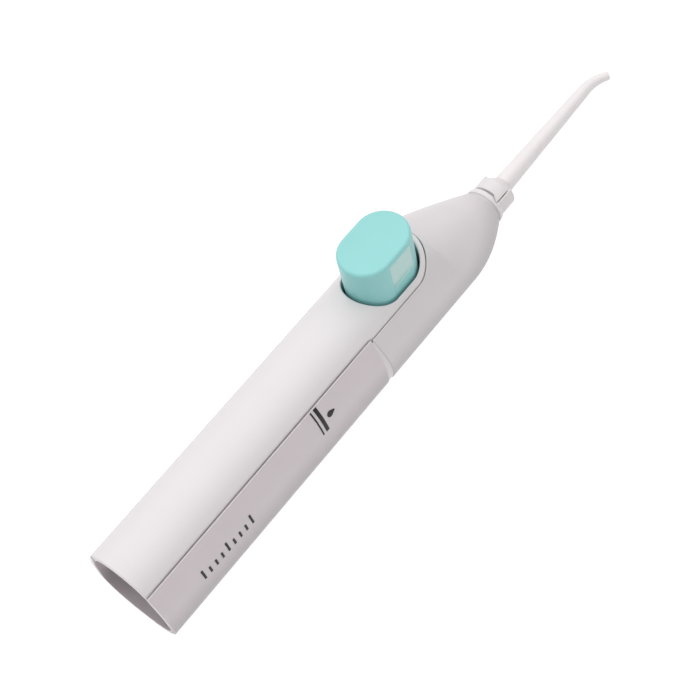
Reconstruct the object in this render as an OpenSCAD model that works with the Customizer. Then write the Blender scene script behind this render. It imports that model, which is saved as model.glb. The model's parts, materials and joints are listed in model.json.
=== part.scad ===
// Hand-pumped water flosser, lying on its back.
//
// +Z points out of the front, where the thumb button is, +Y runs along the body
// towards the jet tip, and +X is the width. The origin is on the flat of the back,
// straight below the thumb button's axis. Inside the modules, y is counted from the
// base rim and placed() moves everything to the origin. All sizes are millimetres.

/* [Body] */
// Half of the body's width
half_w = 17.5; // [16:0.5:20]
// Height of the front above the widest line
crown_h = 27; // [25:0.5:29]
// Depth of the back below the widest line, before it is flattened
back_h = 13.3; // [13.1:0.1:14]
// Height of the widest line above the flat of the back
wide_z = 12.8; // [12.3:0.1:13]
// Roundness of the front: 2 is an ellipse, more is squarer
front_power = 2.4; // [2:0.1:3]
// Roundness of the back
back_power = 2.1; // [2:0.1:3]
// Thickness of the outer walls
wall = 2; // [1.6:0.1:2.2]
// Length of the reservoir
tank_len = 115; // [105:1:118]
// Where the neck of the head ends
neck_y = 196.6; // [195:0.1:197.2]

/* [Front panel] */
// Half of the front panel's width
panel_half_w = 12.4; // [12.3:0.1:12.8]
// Length of the front panel, to the top of its arch
panel_len = 154.8; // [154.4:0.1:155]
// Half length of the button well
well_half_l = 15.5; // [15.2:0.1:15.6]
// Half width of the button well
well_half_w = 11.1; // [10.9:0.1:11.2]

/* [Thumb pump] */
// Distance of the pump's axis from the base rim
pump_y = 137; // [136.5:0.5:137.5]
// Half length of the button
button_half_l = 14.5; // [14:0.1:14.8]
// Half width of the button
button_half_w = 10.2; // [9.6:0.1:10.4]
// Height of the button's top above the flat of the back
button_top = 54.6; // [53:0.2:57]
// How far the button goes in
stroke = 11; // [8:0.5:12]
// Radius of the pump's bore
bore_r = 6.25; // [5.5:0.05:6.4]
// Radius of the return spring, at the middle of its wire
spring_r = 4.6; // [4.2:0.1:5]
// Diameter of the return spring's wire
spring_wire = 0.8; // [0.6:0.1:1]
// Turns of the return spring
spring_turns = 7; // [5:1:8]

/* [Water path] */
// Height of the water path's axis above the flat of the back
flow_z = 8.4; // [8.3:0.1:8.6]
// Radius of the reservoir's mouth
mouth_r = 5.6; // [5.4:0.1:5.8]
// Radius of the two valve balls
ball_r = 1.8; // [1.5:0.1:1.9]
// How far a valve ball lifts off its seat
ball_lift = 1.2; // [0.8:0.1:1.4]

/* [Jet tip] */
// Radius of the jet tip where it leaves its collar
tip_base_r = 3.85; // [3.6:0.05:4.2]
// Radius of the jet tip at its bend
tip_bend_r = 2.45; // [2:0.05:2.8]
// Radius of the jet tip at its end
tip_end_r = 1.7; // [1.4:0.05:2]
// Distance from the base rim to where the bend begins
bend_y = 263; // [255:1:270]
// Angle of the bent end
bend_angle = 25; // [10:1:35]
// Length of the straight end after the bend
end_len = 6.5; // [5:0.5:12]

/* [Hidden] */
$fn = 64;

// Colours
white_abs = "#ebe9ea";
smoke_clear = "#c6c2c4";
aqua = "#a3e0dd";
inner_white = "#dcdcdc";
rubber_grey = "#7d7d80";
steel = "#b8bcc0";

// Small sizes that many pieces share
eps = 0.01;            // makes a cut run past a face
slack = 0.3;           // air between pieces that move past each other
run = 0.1;             // radial room of a shaft in its bore
joint_gap = 0.1;       // air between fixed shells

// The front panel's arch, a little wider than the rest, and its rails
arch_r = panel_half_w + 0.5;
arch_y = panel_len - arch_r;
rail_in = 9.6;
rail_out = 11.2;
tank_front_z = 26.8;   // outer face of the reservoir's flat front wall
tank_wall_z = tank_front_z - wall;
floor_y = 8;           // how deep the base is recessed
floor_t = 2;
tank_top_t = 2.4;      // thickness of the reservoir's top wall

// The thumb pump, along Z
cylinder_r = 7.8;
cylinder_floor = 2.8;
cylinder_top = 27;
cap_top = 29.2;
piston_low = 22;
piston_high = 25.5;
cup_low = 20.5;
rod_r = 3;
button_roof = 2;
plate_low = button_top - button_roof - 2.6;
button_wall = 1.5;
sleeve_low = 30;
frame_low = 14.4;
frame_high = 16.4;
skirt_low = frame_high + stroke + 1.5;
screw_x = 7;
panel_screw_y = 118;
frame_screw_y = 156;
boss_r = 2.6;
screw_r = 1;

// The water path, along Y
port_r = 1.2;
ball_rest = 0.22;      // from the wide end of the seat to the resting ball's centre
boss_reach = 10;       // from the pump's axis to the face of its side bosses
inlet_low = 104;
inlet_seat = 118;
outlet_seat = 149;
outlet_high = 160;
barb_r = 2.4;
barb_l = 4;
tube_r = 3.2;
socket_low = 184;
socket_r = 6;
spigot_r = 3.5;
spigot_low = 188.5;
ring_y = 190.6;        // middle of the socket's O-ring
ring_wire = 1.1;

// The neck, its cradle and the tip's collar, round the water path's axis
neck_ring_y = 193;
neck_r = 8.2;
neck_top_r = 7.5;
groove_d = 0.5;
cradle_r = 7.2;
cradle_t = 1.1;
cradle_high = 204.2;
cradle_open = 53;      // half of the angle that the cradle leaves open at the front
collar_low = 197.5;
collar_side = 202.4;
collar_high = 206;
collar_r = 5.8;
collar_top_r = 4.6;
lug_angle = 36;
lug_half_w = 1.3;
lug_low = 195.4;
bend_radius = 8;
jet_r = 0.6;           // radius of the water channel at the tip's end

// The head runs from the arch to the neck ring
head_front_y = 154;    // where the front begins to slope
head_side_y = 167;     // where the sides begin to draw in
head_rings = 14;
outline_steps = 64;

// ---------------------------------------------------------------- helpers

// Puts the pieces, drawn from the base rim, onto the part's origin
module placed() translate([0, -pump_y, 0]) children();

// Extrudes an X-Z outline from y0 to y1
module along(y0, y1) translate([0, y1, 0]) rotate([90, 0, 0]) linear_extrude(y1 - y0) children();

// A cylinder or cone along Y on the water path's axis
module rod_y(y0, y1, r, r2 = undef)
    translate([0, y0, flow_z]) rotate([-90, 0, 0]) cylinder(h = y1 - y0, r1 = r, r2 = is_undef(r2) ? r : r2);

// A cylinder along Z on the pump's axis
module rod_z(z0, z1, r) translate([0, pump_y, z0]) cylinder(h = z1 - z0, r = r);

// An upright slab with two round ends, centred on the pump's axis
module slot_z(z0, z1, half_l, half_w) translate([0, pump_y, z0]) linear_extrude(z1 - z0) union() {
    square([2 * half_w, 2 * (half_l - half_w)], center = true);
    for (side = [-1, 1]) translate([0, side * (half_l - half_w)]) circle(half_w);
}

// Point of the body's outline at an angle from the front, moved in by t
function outline_pt(a, t) = let (
    hw = half_w - t,
    h = (cos(a) >= 0 ? crown_h : back_h) - t,
    p = cos(a) >= 0 ? front_power : back_power,
    r = pow(pow(abs(sin(a)) / hw, p) + pow(abs(cos(a)) / h, p), -1 / p)
) [r * sin(a), max(t > 0 ? t - 0.3 : 0, wide_z + r * cos(a))];

// The body's outline in X-Z, moved in by t
function outline(t) = [for (i = [0:outline_steps - 1]) outline_pt(360 * i / outline_steps, t)];

// Share of the way to the neck at height y and angle a: the front slopes straight
// from the arch, and the sides keep their width for longer and then round in
function head_share(y, a) = let (
    side = (1 - cos(a)) / 2,
    start = head_front_y + (head_side_y - head_front_y) * min(1, 1.6 * side),
    reach = max(0, (y - start) / (neck_ring_y - start))
) pow(reach, 1.05 + 0.75 * min(1, 1.6 * side));

// Ring of the head's loft at height y, moved in by t
function head_ring(y, t) = [for (i = [0:outline_steps - 1]) let (
    a = 360 * i / outline_steps,
    body = outline_pt(a, t),
    neck = [(neck_r - t) * sin(a), flow_z + (neck_r - t) * cos(a)],
    w = head_share(y, a)
) [body[0] + (neck[0] - body[0]) * w, y, body[1] + (neck[1] - body[1]) * w]];

// Closed skin over a row of rings that all have the same number of points
module skin(rings) {
    n = len(rings[0]);
    m = len(rings);
    sides = [for (k = [0:m - 2], i = [0:n - 1]) let (j = (i + 1) % n)
        each [[k * n + i, (k + 1) * n + j, k * n + j], [k * n + i, (k + 1) * n + i, (k + 1) * n + j]]];
    low = [[for (i = [0:n - 1]) i]];
    high = [[for (i = [0:n - 1]) m * n - 1 - i]];
    polyhedron([for (r = rings) each r], concat(sides, low, high), convexity = 6);
}

// The head from low to high, moved in by t: straight up to the slope, then drawn in to the neck
module head_loft(low, high, t) skin(concat(
    [head_ring(low, t)],
    [for (k = [0:head_rings]) head_ring(head_front_y + (high - head_front_y) * k / head_rings, t)]
));

// The front panel's plan, grown by g, as a tall prism above height z
module panel_prism(g, z) translate([0, 0, z]) linear_extrude(60) union() {
    translate([-panel_half_w - g, -1]) square([2 * (panel_half_w + g), arch_y + 1]);
    translate([-arch_r - g, tank_len - g]) square([2 * (arch_r + g), arch_y - tank_len + g]);
    translate([0, arch_y]) circle(arch_r + g);
}

// A sector round the water path's axis, from angle a0 to a1 counted from the front
module sector(y0, y1, a0, a1, r) translate([0, 0, flow_z]) along(y0, y1)
    polygon([[0, 0], for (k = [0:8]) let (a = a0 + (a1 - a0) * k / 8) [r * sin(a), r * cos(a)]]);

// The triangle of the collar's lug, grown by g, between two radii
module lug(g, r0, r1) translate([0, 0, flow_z]) rotate([0, lug_angle, 0]) translate([0, 0, r0])
    linear_extrude(r1 - r0) polygon([
        [-lug_half_w - g, collar_low + 0.4 + 2 * g], [lug_half_w + g, collar_low + 0.4 + 2 * g],
        [lug_half_w + g, lug_low - g], [lug_half_w - 0.8 - g, lug_low - g]
    ]);

// ---------------------------------------------------------------- fixed pieces

// Upper rear shell: it carries the pump, slopes down to the neck and holds the tip in its cradle
module head_housing() color(white_abs) placed() {
    difference() {
        union() {
            head_loft(tank_len + joint_gap, neck_ring_y, 0);
            rod_y(neck_ring_y - 1, neck_ring_y + 0.9, neck_r - groove_d);
            rod_y(neck_ring_y + 0.8, neck_y, neck_r - 0.2, neck_top_r);
        }
        head_loft(tank_len, socket_low - 1, wall);
        rod_y(socket_low - 1 - eps, neck_y + 1, socket_r + 0.05);
        panel_prism(joint_gap, flow_z + 12);
        lug(slack, socket_r - 0.5, neck_r + 1);
    }
    difference() {
        rod_y(neck_y - eps, cradle_high, cradle_r);
        rod_y(neck_y - 1, cradle_high + 1, cradle_r - cradle_t);
        sector(neck_y - 1, cradle_high + 1, -cradle_open, cradle_open, 2 * cradle_r);
    }
    for (side = [-1, 1]) difference() {
        translate([side * screw_x, frame_screw_y, wall - 1]) cylinder(h = frame_low - wall + 1, r = boss_r);
        translate([side * screw_x, frame_screw_y, wall + 3]) cylinder(h = frame_low, r = screw_r + 0.05);
    }
}

// Front panel: the crowned strip along the front, arched round the button well, with two rails inside
module front_panel() color(white_abs) placed() difference() {
    union() {
        intersection() {
            difference() {
                along(0, panel_len + 1) polygon(outline(0));
                along(-1, panel_len + 2) polygon(outline(wall + 0.2));
            }
            panel_prism(0, flow_z + 12);
        }
        intersection() {
            along(0, panel_len + 1) polygon(outline(0.6));
            union() {
                for (side = [-1, 1]) translate([side > 0 ? rail_in : -rail_out, 3, tank_front_z + slack])
                    cube([rail_out - rail_in, tank_len - 4, 12]);
                translate([-rail_out, floor_y, tank_front_z + slack]) cube([2 * rail_out, floor_t, 14]);
                slot_z(sleeve_low, 60, well_half_l + 1.1, well_half_w + 1.1);
            }
        }
        for (side = [-1, 1]) translate([side * screw_x, panel_screw_y, frame_high])
            cylinder(h = 20, r = boss_r);
    }
    slot_z(sleeve_low - 1, 60, well_half_l, well_half_w);
    for (side = [-1, 1]) translate([side * screw_x, panel_screw_y, frame_high - 1])
        cylinder(h = 14, r = screw_r + 0.05);
}

// Plate that holds the pump inside the head
module pump_frame() color(inner_white) placed() difference() {
    translate([-12.4, tank_len + 0.6, frame_low]) cube([24.8, 44.4, frame_high - frame_low]);
    rod_z(frame_low - 1, frame_high + 1, cylinder_r + 0.05);
    for (side = [-1, 1], y = [panel_screw_y, frame_screw_y])
        translate([side * screw_x, y, frame_low - 1]) cylinder(h = 5, r = screw_r + 0.15);
}

// Pan-head screw with its head towards -Z
module screw(length) {
    cylinder(h = length, r = screw_r);
    difference() {
        translate([0, 0, -1.4]) cylinder(h = 1.4, r = 1.9);
        for (a = [0, 90]) rotate([0, 0, a]) translate([-1.2, -0.25, -1.6]) cube([2.4, 0.5, 0.9]);
    }
}

// Four screws: two pull the front panel onto the pump's plate, two hold the plate in the head
module frame_screws() color(steel) placed() for (side = [-1, 1]) {
    translate([side * screw_x, panel_screw_y, frame_low]) screw(11);
    translate([side * screw_x, frame_screw_y, frame_high]) mirror([0, 0, 1]) screw(9);
}

// Pump cylinder with a boss for each valve
module pump_cylinder() color(inner_white) placed() difference() {
    union() {
        rod_z(cylinder_floor, cylinder_top, cylinder_r);
        rod_y(pump_y - boss_reach, pump_y + boss_reach, 4.4);
    }
    rod_z(cylinder_floor + 2.2, cylinder_top + 1, bore_r);
    rod_y(pump_y - boss_reach - 1, pump_y + boss_reach + 1, port_r);
}

// Cap that closes the pump cylinder and guides the plunger's rod
module cylinder_cap() color(inner_white) placed() difference() {
    union() {
        rod_z(cylinder_top, cap_top, cylinder_r);
        rod_z(cylinder_top - 0.9, cylinder_top + eps, bore_r - 0.05);
    }
    rod_z(cylinder_top - 2, cap_top + 1, rod_r + run);
}

// Room for one valve ball, with a cone seat towards the base
module ball_room(seat_y) {
    rod_y(seat_y - 1.2, seat_y, port_r, ball_r + 0.4);
    rod_y(seat_y - eps, seat_y + ball_rest + ball_lift + ball_r + 1.8, ball_r + 0.4);
}

// Inlet valve: spigot in the reservoir's mouth, ball room and seat
module inlet_valve_body() color(inner_white) placed() difference() {
    union() {
        rod_y(inlet_low, pump_y - boss_reach, 4.2);
        rod_y(tank_len + 0.6, tank_len + 2.2, 5.7);
    }
    rod_y(inlet_low - 1, inlet_low + 6, 2.02);
    rod_y(inlet_low, pump_y - boss_reach + 1, port_r);
    ball_room(inlet_seat);
}

// Outlet valve: ball room, seat and a barb for the outlet tube
module outlet_valve_body() color(inner_white) placed() difference() {
    union() {
        rod_y(pump_y + boss_reach, outlet_high, 4.2);
        rod_y(outlet_high, outlet_high + barb_l, barb_r);
    }
    rod_y(pump_y, outlet_high + barb_l + 1, port_r);
    ball_room(outlet_seat);
}

// Tube that draws water from the bottom of the reservoir
module suction_tube() color(smoke_clear) placed() difference() {
    rod_y(16, inlet_low + 6, 2);
    rod_y(15, inlet_low + 7, port_r);
}

// Slotted foot of the suction tube
module suction_strainer() color(inner_white) placed() difference() {
    rod_y(12.5, 20, 3.4);
    rod_y(16, 21, 2.02);
    rod_y(14, 17, port_r);
    for (a = [0:60:120]) translate([0, 0, flow_z]) rotate([0, a, 0]) translate([-4, 14, -0.4]) cube([8, 1.4, 0.8]);
}

// Rubber ring that seals the reservoir's mouth
module tank_gasket() color(rubber_grey) placed() difference() {
    union() {
        rod_y(tank_len - 4, tank_len - 0.7, mouth_r - 0.05);
        rod_y(tank_len - 0.1, tank_len + 0.5, 6.2);
        rod_y(tank_len - 0.8, tank_len, mouth_r - 0.05);
    }
    rod_y(tank_len - 5, tank_len + 1, 4.25);
}

// Flexible tube from the outlet valve to the tip's socket
module outlet_tube() color(smoke_clear) placed() difference() {
    rod_y(outlet_high + 0.2, socket_low - 0.2, tube_r);
    rod_y(outlet_high, socket_low, barb_r + 0.02);
}

// Socket in the neck that the jet tip plugs into
module nozzle_socket() color(inner_white) placed() difference() {
    union() {
        rod_y(socket_low, neck_y - 0.3, socket_r);
        rod_y(socket_low - barb_l, socket_low, barb_r);
    }
    rod_y(socket_low - barb_l - 1, neck_y, port_r);
    rod_y(spigot_low - 0.5, neck_y, spigot_r + run);
    rod_y(ring_y - 0.6, ring_y + 0.6, spigot_r + 1.16);
}

// O-ring in the socket
module socket_o_ring() color(rubber_grey) placed() translate([0, ring_y, flow_z]) rotate([-90, 0, 0])
    rotate_extrude() translate([spigot_r + 0.03 + ring_wire / 2, 0]) circle(ring_wire / 2, $fn = 24);

// ---------------------------------------------------------------- thumb button

// Hollow thumb button with a shallow recess in each flat side
module pump_button() color(aqua) placed() difference() {
    union() {
        slot_z(skirt_low, button_top - 1.2, button_half_l, button_half_w);
        slot_z(button_top - 1.2, button_top, button_half_l - 0.7, button_half_w - 0.7);
    }
    slot_z(skirt_low - 1, button_top - button_roof, button_half_l - button_wall, button_half_w - button_wall);
    for (side = [-1, 1]) translate([side * button_half_w, pump_y + 1.2, 45.5]) cube([1.6, 11, 13], center = true);
}

// Plate and rod under the button
module plunger() color(inner_white) placed() {
    slot_z(plate_low, button_top - button_roof, button_half_l - button_wall - 0.1, button_half_w - button_wall - 0.1);
    rod_z(piston_high, plate_low + eps, rod_r);
}

// Piston on the end of the rod
module piston() color(inner_white) placed() {
    rod_z(piston_low, piston_high, bore_r - run);
    rod_z(cup_low + 0.2, piston_low + eps, 4);
}

// Rubber cup round the piston's nose
module piston_cup() color(rubber_grey) placed() difference() {
    rod_z(cup_low, piston_low, bore_r - 0.05);
    rod_z(cup_low - 1, piston_low + 1, 4);
}

// One ring of the spring's wire at a share u of its length
function wire_ring(u, low, high, sides) = let (
    a = 360 * spring_turns * u,
    z = low + (high - low) * u,
    pitch = atan((high - low) / (spring_turns * 2 * PI * spring_r)),
    r = spring_wire / 2
) [for (k = [0:sides - 1]) let (
    b = -360 * k / sides,
    out = r * cos(b),
    up = r * sin(b)
) [(spring_r + out) * cos(a) + up * sin(pitch) * sin(a),
   pump_y + (spring_r + out) * sin(a) - up * sin(pitch) * cos(a),
   z + up * cos(pitch)]];

// Return spring between the cylinder's cap and the plunger's plate
module return_spring() color(steel) placed() let (
    low = cap_top + spring_wire / 2 + 0.15,
    high = plate_low - spring_wire / 2 - 0.15,
    steps = spring_turns * 16
) skin([for (i = [0:steps]) wire_ring(i / steps, low, high, 6)]);

// ---------------------------------------------------------------- reservoir

// Translucent reservoir behind the front panel, closed by a flat front wall and a top wall with a mouth
module reservoir() color(smoke_clear) placed() difference() {
    union() {
        difference() {
            along(0, tank_len - 0.3) polygon(outline(0));
            along(-1, tank_len + 1) polygon(outline(wall));
        }
        intersection() {
            along(floor_y, tank_len - 0.3) polygon(outline(1));
            translate([-20, floor_y, tank_wall_z]) cube([40, tank_len, wall]);
        }
        intersection() {
            along(tank_len - 0.3 - tank_top_t, tank_len - 0.3) polygon(outline(1));
            translate([-20, 0, 0]) cube([40, tank_len, tank_front_z]);
        }
    }
    panel_prism(slack, tank_front_z);
    rod_y(tank_len - 5, tank_len + 1, mouth_r);
}

// Floor of the reservoir, set in from the base rim, with two ribs
module tank_floor() color(smoke_clear) placed() intersection() {
    along(0, 20) polygon(outline(wall + 0.02));
    union() {
        translate([-20, floor_y, 0]) cube([40, floor_t, tank_wall_z - 0.02]);
        for (side = [-1, 1]) translate([side * 6 - 0.6, floor_y - 3, 0]) cube([1.2, 3.2, tank_wall_z - 0.02]);
    }
}

// ---------------------------------------------------------------- jet tip

// Collar that holds the jet tip in the cradle, with one lug that keys into the neck
module tip_collar() color(white_abs) placed() difference() {
    union() {
        rod_y(neck_y + 0.2, collar_low + eps, 5);
        rod_y(collar_low, collar_side, collar_r);
        rod_y(collar_side, collar_high, collar_r, collar_top_r);
        intersection() {
            union() {
                rod_y(collar_low, collar_low + 0.9, cradle_r + 0.3);
                rod_y(collar_low, collar_side, cradle_r - 0.1);
                rod_y(collar_side, collar_high, cradle_r - 0.1, collar_top_r);
            }
            sector(neck_y, collar_high + 1, -cradle_open + 4, cradle_open - 4, 3 * cradle_r);
        }
        lug(0, socket_r + slack, cradle_r - 0.2);
    }
    rod_y(neck_y - 3, collar_high + 1, spigot_r + run);
}

// The bend towards +X and the straight end after it, from radius r0 to r1
module bent_end(r0, r1, len) translate([bend_radius, bend_y, flow_z]) {
    mirror([1, 0, 0]) rotate_extrude(angle = bend_angle) translate([bend_radius, 0]) circle(r0);
    for (a = [0, -bend_angle]) rotate([0, 0, a]) translate([-bend_radius, 0, 0]) sphere(r0 + 0.05);
    rotate([0, 0, -bend_angle]) translate([-bend_radius, 0, 0]) rotate([-90, 0, 0])
        cylinder(h = len, r1 = r0, r2 = r1);
}

// Bent jet tip: spigot, long taper, bend and fine end, with its water channel
module jet_tip() color(white_abs) placed() difference() {
    union() {
        rod_y(spigot_low, collar_high + 0.3, spigot_r);
        rod_y(collar_high + 0.2, bend_y, tip_base_r, tip_bend_r);
        bent_end(tip_bend_r, tip_end_r, end_len);
    }
    rod_y(spigot_low - 1, bend_y, port_r, jet_r);
    bent_end(jet_r, jet_r, end_len + 1);
}

// ---------------------------------------------------------------- valve balls

// Ball that rests in the cone seat of its room
module ball(seat_y) translate([0, seat_y + ball_rest, flow_z]) sphere(ball_r);

module inlet_ball() color(steel) placed() ball(inlet_seat);
module outlet_ball() color(steel) placed() ball(outlet_seat);

head_housing();
front_panel();
pump_frame();
frame_screws();
pump_cylinder();
cylinder_cap();
inlet_valve_body();
outlet_valve_body();
suction_tube();
suction_strainer();
tank_gasket();
outlet_tube();
nozzle_socket();
socket_o_ring();
pump_button();
plunger();
piston();
piston_cup();
return_spring();
reservoir();
tank_floor();
tip_collar();
jet_tip();
inlet_ball();
outlet_ball();
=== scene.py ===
"""Looks of a hand-pumped water flosser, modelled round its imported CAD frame.

The flosser lies on its back: +Z points out of the front through the thumb button, +Y along
the body towards the jet tip and +X across the width, all in metres. The shells that are seen
are smooth surfaces worked out from the body's outline, with rounded edges and real walls.
The pieces inside keep their CAD solids and only get a finish.
"""

import json
import logging
import math
from collections.abc import Callable
from dataclasses import dataclass, field
from enum import Enum

import bmesh
import bpy
import numpy as np
from mathutils import Matrix, Vector

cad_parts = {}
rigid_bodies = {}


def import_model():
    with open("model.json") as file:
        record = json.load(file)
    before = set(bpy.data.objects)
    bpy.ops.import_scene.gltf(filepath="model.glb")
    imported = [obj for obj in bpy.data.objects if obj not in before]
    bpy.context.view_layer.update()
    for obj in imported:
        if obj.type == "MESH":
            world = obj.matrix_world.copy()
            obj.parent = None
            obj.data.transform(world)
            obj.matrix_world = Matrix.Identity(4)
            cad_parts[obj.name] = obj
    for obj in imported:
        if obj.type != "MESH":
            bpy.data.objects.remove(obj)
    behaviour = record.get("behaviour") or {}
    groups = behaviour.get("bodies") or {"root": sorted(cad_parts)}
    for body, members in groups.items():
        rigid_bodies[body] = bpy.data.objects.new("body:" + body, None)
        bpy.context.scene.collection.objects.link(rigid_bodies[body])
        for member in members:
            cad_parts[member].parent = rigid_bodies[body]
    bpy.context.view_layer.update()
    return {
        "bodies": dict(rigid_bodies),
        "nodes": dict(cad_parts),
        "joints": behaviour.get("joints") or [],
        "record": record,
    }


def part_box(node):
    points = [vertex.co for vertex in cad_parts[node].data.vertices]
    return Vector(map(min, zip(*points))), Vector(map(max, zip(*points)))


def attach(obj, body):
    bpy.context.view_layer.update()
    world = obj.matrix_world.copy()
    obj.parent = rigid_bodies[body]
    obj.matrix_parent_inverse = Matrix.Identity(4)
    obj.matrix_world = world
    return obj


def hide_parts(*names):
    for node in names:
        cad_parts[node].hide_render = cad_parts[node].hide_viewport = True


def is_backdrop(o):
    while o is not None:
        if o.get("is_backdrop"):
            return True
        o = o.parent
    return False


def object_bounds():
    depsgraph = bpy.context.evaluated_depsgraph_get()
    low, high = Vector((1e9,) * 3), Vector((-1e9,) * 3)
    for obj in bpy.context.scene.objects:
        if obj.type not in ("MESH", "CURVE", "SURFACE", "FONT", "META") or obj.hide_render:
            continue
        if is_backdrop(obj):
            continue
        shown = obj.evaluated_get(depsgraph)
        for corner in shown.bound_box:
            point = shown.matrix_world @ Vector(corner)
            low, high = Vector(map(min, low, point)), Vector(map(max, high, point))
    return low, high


LOG = logging.getLogger("water_flosser")
MM = 0.001
SHARP_ANGLE = math.radians(32)
WELD = 2e-6
Array = np.ndarray


# ---------------------------------------------------------------- meshes


def smooth_step(value: Array, low: float, high: float) -> Array:
    """Rises smoothly from 0 at low to 1 at high.

    Args:
        value: Where to read the step.
        low: Where it begins.
        high: Where it ends, which may be below low for a falling step.

    Returns:
        The height of the step at each value.
    """
    share = np.clip((value - low) / (high - low), 0, 1)
    return share * share * (3 - 2 * share)


def grid_normals(grid: Array) -> Array:
    """Unit normals of a grid of points, from the differences between neighbours.

    Args:
        grid: Points, rows by columns by 3.

    Returns:
        One normal a point, along the cross product of the row and column directions.
    """
    normal = np.cross(np.gradient(grid, axis=0), np.gradient(grid, axis=1))
    length = np.linalg.norm(normal, axis=-1, keepdims=True)
    return normal / np.maximum(length, 1e-15)


class Skin:
    """Collects grids of points and welds them into one mesh piece."""

    def __init__(self, rim_y: float) -> None:
        """Starts an empty skin.

        Args:
            rim_y: Where the base rim lies; the points' y is counted from it.
        """
        self._shift = np.array([0.0, rim_y, 0.0])
        self._points: list[Array] = []
        self._painted_highlights: list[Array] = []
        self._quads: list[Array] = []
        self._count = 0

    def grid(
        self, points: Array, wrap_rows: bool = False, wrap_cols: bool = False, painted_highlight: float | Array = 0.0
    ) -> None:
        """Adds a surface over a grid of points.

        Args:
            points: Rows by columns by 3.
            wrap_rows: Whether the last row joins the first.
            wrap_cols: Whether the last column joins the first.
            painted_highlight: Share of painted highlight at each point, kept as a mesh attribute for the
                finish; one number or one a point.
        """
        rows, cols = points.shape[:2]
        index = np.arange(rows * cols).reshape(rows, cols) + self._count
        if wrap_rows:
            index = np.vstack([index, index[:1]])
        if wrap_cols:
            index = np.hstack([index, index[:, :1]])
        corners = [index[:-1, :-1], index[1:, :-1], index[1:, 1:], index[:-1, 1:]]
        self._quads.append(np.stack(corners, axis=-1).reshape(-1, 4))
        self._points.append(points.reshape(-1, 3))
        self._painted_highlights.append(np.broadcast_to(painted_highlight, (rows, cols)).reshape(-1))
        self._count += rows * cols

    def build(
        self, name: str, finish: bpy.types.Material, slot: str, body: str, *nodes: str
    ) -> bpy.types.Object:
        """Makes the mesh object, with faces outward, and puts it on its body.

        Args:
            name: Name of the piece.
            finish: Its material.
            slot: The record's material slot; not used.
            body: The CAD body that it rides on.
            nodes: The CAD nodes that it stands for.

        Returns:
            The object.
        """
        mesh = bpy.data.meshes.new(name)
        points = np.concatenate(self._points) + self._shift
        mesh.from_pydata(points, [], np.concatenate(self._quads).tolist())
        # Per-point share of painted highlight, which the finish mixes in as a paler colour
        painted_highlight = mesh.attributes.new("painted_highlight", "FLOAT", "POINT")
        painted_highlight.data.foreach_set("value", np.concatenate(self._painted_highlights).astype(np.float32))
        work = bmesh.new()
        work.from_mesh(mesh)
        bmesh.ops.remove_doubles(work, verts=work.verts, dist=WELD)
        bmesh.ops.dissolve_degenerate(work, edges=work.edges, dist=WELD / 2)
        bmesh.ops.recalc_face_normals(work, faces=work.faces)
        work.to_mesh(mesh)
        work.free()
        mesh.shade_smooth()
        mesh.set_sharp_from_angle(angle=SHARP_ANGLE)
        mesh.materials.append(finish)
        piece = bpy.data.objects.new(name, mesh)
        bpy.context.scene.collection.objects.link(piece)
        if nodes:
            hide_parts(*nodes)
        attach(piece, body)
        LOG.info("%s: %d faces, on %s", name, len(mesh.polygons), body)
        return piece


def rolled_rows(loop: Array, normal: Array, inside: Array, radius: float, steps: int = 5) -> Array:
    """Rows of points that roll an open edge over, a quarter of a circle round.

    Each point moves outward in the surface by radius * sin(t) and sinks along the normal by
    radius * (1 - cos(t)). At a corner the outward move is mitred.

    Args:
        loop: The closed row of points at the surface's edge.
        normal: Outward normals there.
        inside: A point of the surface next to each point of the loop.
        radius: Radius of the rolled edge.
        steps: Rows round the quarter circle.

    Returns:
        The rows, steps by points by 3, the edge itself first.
    """
    ahead = np.roll(loop, -1, axis=0) - loop
    behind = loop - np.roll(loop, 1, axis=0)

    def outward(run: Array) -> Array:
        """Unit vectors square to the runs and to the normal."""
        side = np.cross(run, normal)
        return side / np.maximum(np.linalg.norm(side, axis=1, keepdims=True), 1e-15)

    first, second = outward(behind), outward(ahead)
    spread = 1 + np.sum(first * second, axis=1, keepdims=True)
    mitre = (first + second) / np.maximum(spread, 0.3)
    if np.sum(mitre * (loop - inside)) < 0:
        mitre = -mitre
    turn = np.linspace(0, math.pi / 2, steps)[:, None, None]
    return loop + radius * (mitre * np.sin(turn) - normal * (1 - np.cos(turn)))


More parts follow.
